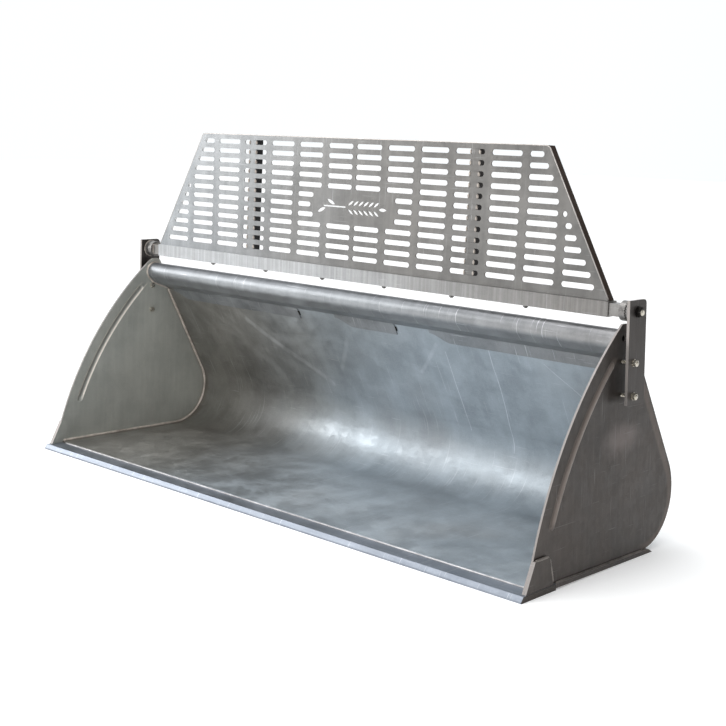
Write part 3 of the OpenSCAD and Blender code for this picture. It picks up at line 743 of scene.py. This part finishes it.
for side, s in SIDES:
    # Fillet between the shell and the side plate, and another round the end of the top beam
    seam = [Vector((s * (plate_in(p.z) - 0.0015), p.y - 0.001 * p.z, p.z + 0.001))
            for p in shell_line(-0.001, APRON_Z - 0.004)]
    crease = round_x(round_x(BEAM, BEAM_R, 225), 0.026, -45)
    collar = [round_x(BEAM, BEAM_R + 0.0005, 55 + 170 * k / 21) for k in range(22)]
    collar = [Vector((s * (plate_in(p.z) - 0.001), p.y, p.z)) for p in (*collar, crease, APRON_FOOT)]
    shape = joined(bead([seam], 0.0042), bead([collar], 0.0034))
    piece("seam_weld_" + side, shape, "bucket", "plate_zinc", "seam_bead")

    # Welds along the top and the rear of the corner plate, and along the floor strip
    x = plate_out(0.091) + 0.0035
    corner = [[Vector((s * (x + 0.001), LIP_Y + 0.060, CORNER_TOP)),
               Vector((s * (x + 0.001), LIP_Y + 0.116, CORNER_TOP))],
              [Vector((s * (x + 0.001), LIP_Y + 0.1185, 0.088)),
               Vector((s * (x + 0.004), LIP_Y + 0.134, 0.022))]]
    strip_top = EDGE_TOP - 0.0005
    floor_strip = [Vector((s * (HALF + 0.002), LIP_Y + 0.150, strip_top + 0.001)),
                   Vector((s * (HALF + 0.002), LIP_Y + 0.560, strip_top - 0.004))]
    shape = bead([*corner, floor_strip], 0.0034)
    piece("foot_weld_" + side, shape, "bucket", "plate_zinc", "foot_bead")

# Tabs under the apron: thin plates on the back sheet with one rounded end, a dark plate at one end
# as the painted shade of a slot, and stitch welds
APRON_S = (APRON_Z - BEND.z - BEND_R * OUT.z) / UP.z
TABS = ((-0.94, -0.30), (-0.13, 0.126), (0.266, 0.93))
TAB_T, TAB_TUCK = 0.003, 0.006
TAB_SHORT, TAB_DROP, TAB_CURVE = 0.008, 0.036, 0.075
STITCH, STITCH_STEP = 0.07, 0.15


def on_back(x, s, rise):
    """A point on the inside of the back sheet: s up from the apron's foot, raised by rise."""
    return Vector((x, 0, 0)) + BEND + OUT * (BEND_R - rise) + UP * (APRON_S + s)


def slab(shape, outline, rise):
    """Adds a flat plate on the back sheet, from an outline of (x, s) points."""
    verts, faces = shape
    first, n = len(verts), len(outline)
    verts += [on_back(x, s, -0.0004) for x, s in outline]
    verts += [on_back(x, s, rise) for x, s in outline]
    faces.append(tuple(range(first, first + n)))
    faces.append(tuple(range(first + 2 * n - 1, first + n - 1, -1)))
    for i in range(n):
        j = (i + 1) % n
        faces.append((first + j, first + i, first + n + i, first + n + j))


tab, slot, stitches = ([], []), ([], []), []
for x0, x1 in TABS:
    curve = [(x0 + TAB_CURVE * k / 12,
              -TAB_SHORT - (TAB_DROP - TAB_SHORT) * (1 - math.cos(math.pi * k / 12)) / 2)
             for k in range(13)]
    slab(tab, [(x0, TAB_TUCK), *curve, (x1, -TAB_DROP), (x1, TAB_TUCK)], TAB_T)
    # A dark plate beside the tab's end: painted shade of a gap
    slab(slot, [(x1 + 0.0005, -0.021), (x1 + 0.005, -0.022), (x1 + 0.004, -0.007),
                (x1 - 0.001, -0.006)], TAB_T + 0.0003)
    x = x0 + 0.10
    while x < x1 - 0.05:
        stitches.append([on_back(x, -TAB_DROP, 0.0005), on_back(x + STITCH, -TAB_DROP, 0.0005)])
        x += STITCH_STEP + 0.02 * random.random()
sharpen(piece("apron_tabs", tab, "bucket", "beam_zinc"))
sharpen(piece("apron_gap_shades", slot, "bucket", "dark_washer"))
piece("apron_stitch_welds", bead(stitches, 0.0018, 0.006), "bucket", "beam_zinc", "weld_bead")

# Bead along the front edge of the floor sheet, on the cutting edge bar
line = [Vector((x / 50, LIP_Y + 0.0615, EDGE_TOP + 0.001)) for x in range(-49, 50)]
piece("lip_weld", bead([line], 0.0026, 0.009), "bucket", "edge_zinc", "lip_bead")


# ---- guard --------------------------------------------------------------------------------------

TUBE_HALF = 0.020
GUARD_LEAN = math.radians(1.5)
GUARD_Y, GUARD_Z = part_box("guard_sheet")[0].y, axle_z + TUBE_HALF
GUARD_H, GUARD_FOOT, GUARD_TOP = 0.393, 0.929, 0.709
SLOPE = (GUARD_FOOT - GUARD_TOP) / GUARD_H
FOLD_R, FOLD_IN, CORNER_CUT, FOLD_START = 0.0016, 0.0008, 0.006, 0.004
SLOT_ROWS, FIRST_ROW, ROW_STEP = 12, 0.031, 0.0307


def on_guard(x, h, deep):
    """A point on the guard sheet at height h above its foot, deep behind its front face."""
    c, d = math.cos(GUARD_LEAN), math.sin(GUARD_LEAN)
    return Vector((x, GUARD_Y + h * d + deep * c, GUARD_Z + h * c - deep * d))


# Rounded folds, where the front face turns back into the rims, in a lighter zinc as a painted highlight
half = [(GUARD_TOP - CORNER_CUT, GUARD_H - FOLD_IN),
        (GUARD_TOP + SLOPE * CORNER_CUT, GUARD_H - CORNER_CUT),
        (GUARD_FOOT - SLOPE * FOLD_START, FOLD_START)]
outline = [(-x, h) for x, h in reversed(half)] + half
folds = rod([on_guard(x, h, FOLD_R * 0.6) for x, h in outline], FOLD_R)
piece("guard_sheet_folds", folds, "guard", "guard_zinc", "fold_highlight_zinc")

# Short fillets between the stiffeners and the back of the guard sheet, beside each row of slots
stitches = []
for side, _ in SIDES:
    low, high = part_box("stiffener_" + side)
    for x in (low.x - 0.001, high.x + 0.001):
        for row in range(SLOT_ROWS):
            h = FIRST_ROW + ROW_STEP * row
            stitches.append([on_guard(x, h - 0.008, 0.0036), on_guard(x, h + 0.008, 0.0036)])
piece("stiffener_welds", bead(stitches, 0.0032, 0.006), "guard", "guard_zinc", "weld_bead")


# ---- welds of the hooks, discs and stubs --------------------------------------------------------

for side, _ in SIDES:
    low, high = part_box("hitch_hook_" + side)
    rear = [p for p in shell_line(SHEET + 0.001, 0.52) if p.z > 0.06 and p.y > LIP_Y + 0.5]
    lines = [[Vector((x, p.y, p.z)) for p in rear] for x in (low.x, high.x)]
    piece("hook_weld_" + side, bead(lines, 0.004), "bucket", "plate_zinc", "weld_bead")

# Rings round the toothed discs: on the bracket and on the stub's square end
DISC_R = 0.0265
for side, s in SIDES:
    circle = []
    for k in range(41):
        w = 2 * math.pi * k / 40
        y, z = axle_y + DISC_R * math.cos(w), axle_z + DISC_R * math.sin(w)
        circle.append(Vector((s * (plate_out(z) + STAND_OFF - 0.0006), y, z)))
    piece("disc_weld_" + side, bead([circle], 0.0022, 0.005), "bucket", "bracket_zinc", "weld_bead")
    low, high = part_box("stub_" + side)
    end = (high.x if s > 0 else low.x) - s * 0.0005
    h = (high.z - low.z) / 2
    square = [Vector((end, axle_y + dy * h, axle_z + dz * h)) for dy, dz in (*SQUARE, SQUARE[0])]
    piece("stub_weld_" + side, bead([square], 0.0022, 0.005), "stub_" + side, "stub_zinc",
          "weld_bead")


# ---- floor, lights and camera -------------------------------------------------------------------

FLOOR_SIZE, FLOOR_GLOW = 30.0, 0.22
# Room light: its strength away from the backdrop and towards it, and the way to the backdrop
ROOM_DIM, ROOM_BRIGHT = (-0.1, 0.22), (0.75, 1.05)
BACKDROP_WAY = (-0.95, 0.25, 0.18)
# Area lights: place, target, width and height, power
LIGHTS = {
    "key": ((-5.0, -3.2, 2.6), (0, 0, 0.4), (3.5, 3.0), 150),
    "front": ((0.9, -4.6, 2.0), (-0.4, 0, 0.3), (2.6, 1.6), 75),
    "top": ((-0.6, -0.9, 4.5), (-0.2, 0, 0.2), (3.0, 1.6), 45),
    "side": ((4.5, -2.5, 3.0), (-0.6, 0, 0.3), (1.5, 2.0), 22),
}
SKY_POWER, SKY_SPREAD, SKY_TURN = 1.35, math.radians(75), (math.radians(14), math.radians(-10), 0)
CAMERA_PLACE = (2.754, LIP_Y - 2.456, 1.108)
YAW, PITCH, ROLL = math.radians(42.93), math.radians(10.09), math.radians(1.69)
LENS, SENSOR = 64.8, 36.0


def stand(name, data):
    """A new object in the scene."""
    thing = bpy.data.objects.new(name, data)
    bpy.context.scene.collection.objects.link(thing)
    return thing


def studio():
    """A plain pale floor."""
    t = Tree("studio_floor")
    colour = t.mix(t.noise(t.point, 1.3, 4), rgb(0.90, 0.90, 0.90), rgb(0.93, 0.93, 0.93))
    t.finish(colour, Roughness=0.8, **{"Emission Color": rgb(1, 1, 1), "Emission Strength": FLOOR_GLOW})
    mesh = bpy.data.meshes.new("studio_floor")
    mesh.from_pydata([(FLOOR_SIZE * x, FLOOR_SIZE * y, 0) for x, y in SQUARE], [], [(0, 1, 2, 3)])
    mesh.materials.append(t.material)
    floor = stand("studio_floor", mesh)


def world():
    """Soft room light, brighter towards the left and the back left, where the backdrop is."""
    scene = bpy.context.scene
    scene.world = bpy.data.worlds.new("studio")
    scene.world.use_nodes = True
    tree = scene.world.node_tree
    back = tree.nodes["Background"]
    way = tree.nodes.new("ShaderNodeTexCoord").outputs["Generated"]
    lean = tree.nodes.new("ShaderNodeVectorMath")
    lean.operation = "DOT_PRODUCT"
    tree.links.new(way, lean.inputs[0])
    lean.inputs[1].default_value = BACKDROP_WAY
    ramp = tree.nodes.new("ShaderNodeMapRange")
    ramp.interpolation_type = "SMOOTHSTEP"
    tree.links.new(lean.outputs["Value"], ramp.inputs["Value"])
    for end, (way_there, strength) in (("Min", ROOM_DIM), ("Max", ROOM_BRIGHT)):
        ramp.inputs["From " + end].default_value = way_there
        ramp.inputs["To " + end].default_value = strength
    tree.links.new(ramp.outputs["Result"], back.inputs["Strength"])
    back.inputs["Color"].default_value = rgb(0.95, 0.98, 1.0)
    scene.view_settings.view_transform = "Standard"


def area(name, place, target, size, power):
    data = bpy.data.lights.new(name, "AREA")
    data.shape = "RECTANGLE"
    data.size, data.size_y = size
    data.energy = power
    lamp = stand(name, data)
    lamp.location = place
    lamp.rotation_euler = (Vector(target) - Vector(place)).to_track_quat("-Z", "Y").to_euler()


def sky():
    """Wide soft light from above, even over the whole floor."""
    data = bpy.data.lights.new("sky", "SUN")
    data.energy = SKY_POWER
    data.angle = SKY_SPREAD
    stand("sky", data).rotation_euler = SKY_TURN


def camera():
    """Eye level view from the front right corner, slightly downwards."""
    data = bpy.data.cameras.new("camera")
    data.lens = LENS
    data.sensor_width = SENSOR
    thing = stand("camera", data)
    turn = (Matrix.Rotation(YAW, 4, "Z") @ Matrix.Rotation(math.pi / 2 - PITCH, 4, "X")
            @ Matrix.Rotation(ROLL, 4, "Z"))
    thing.matrix_world = Matrix.Translation(CAMERA_PLACE) @ turn
    bpy.context.scene.camera = thing


studio()
world()
for name, light in LIGHTS.items():
    area(name, *light)
sky()
camera()
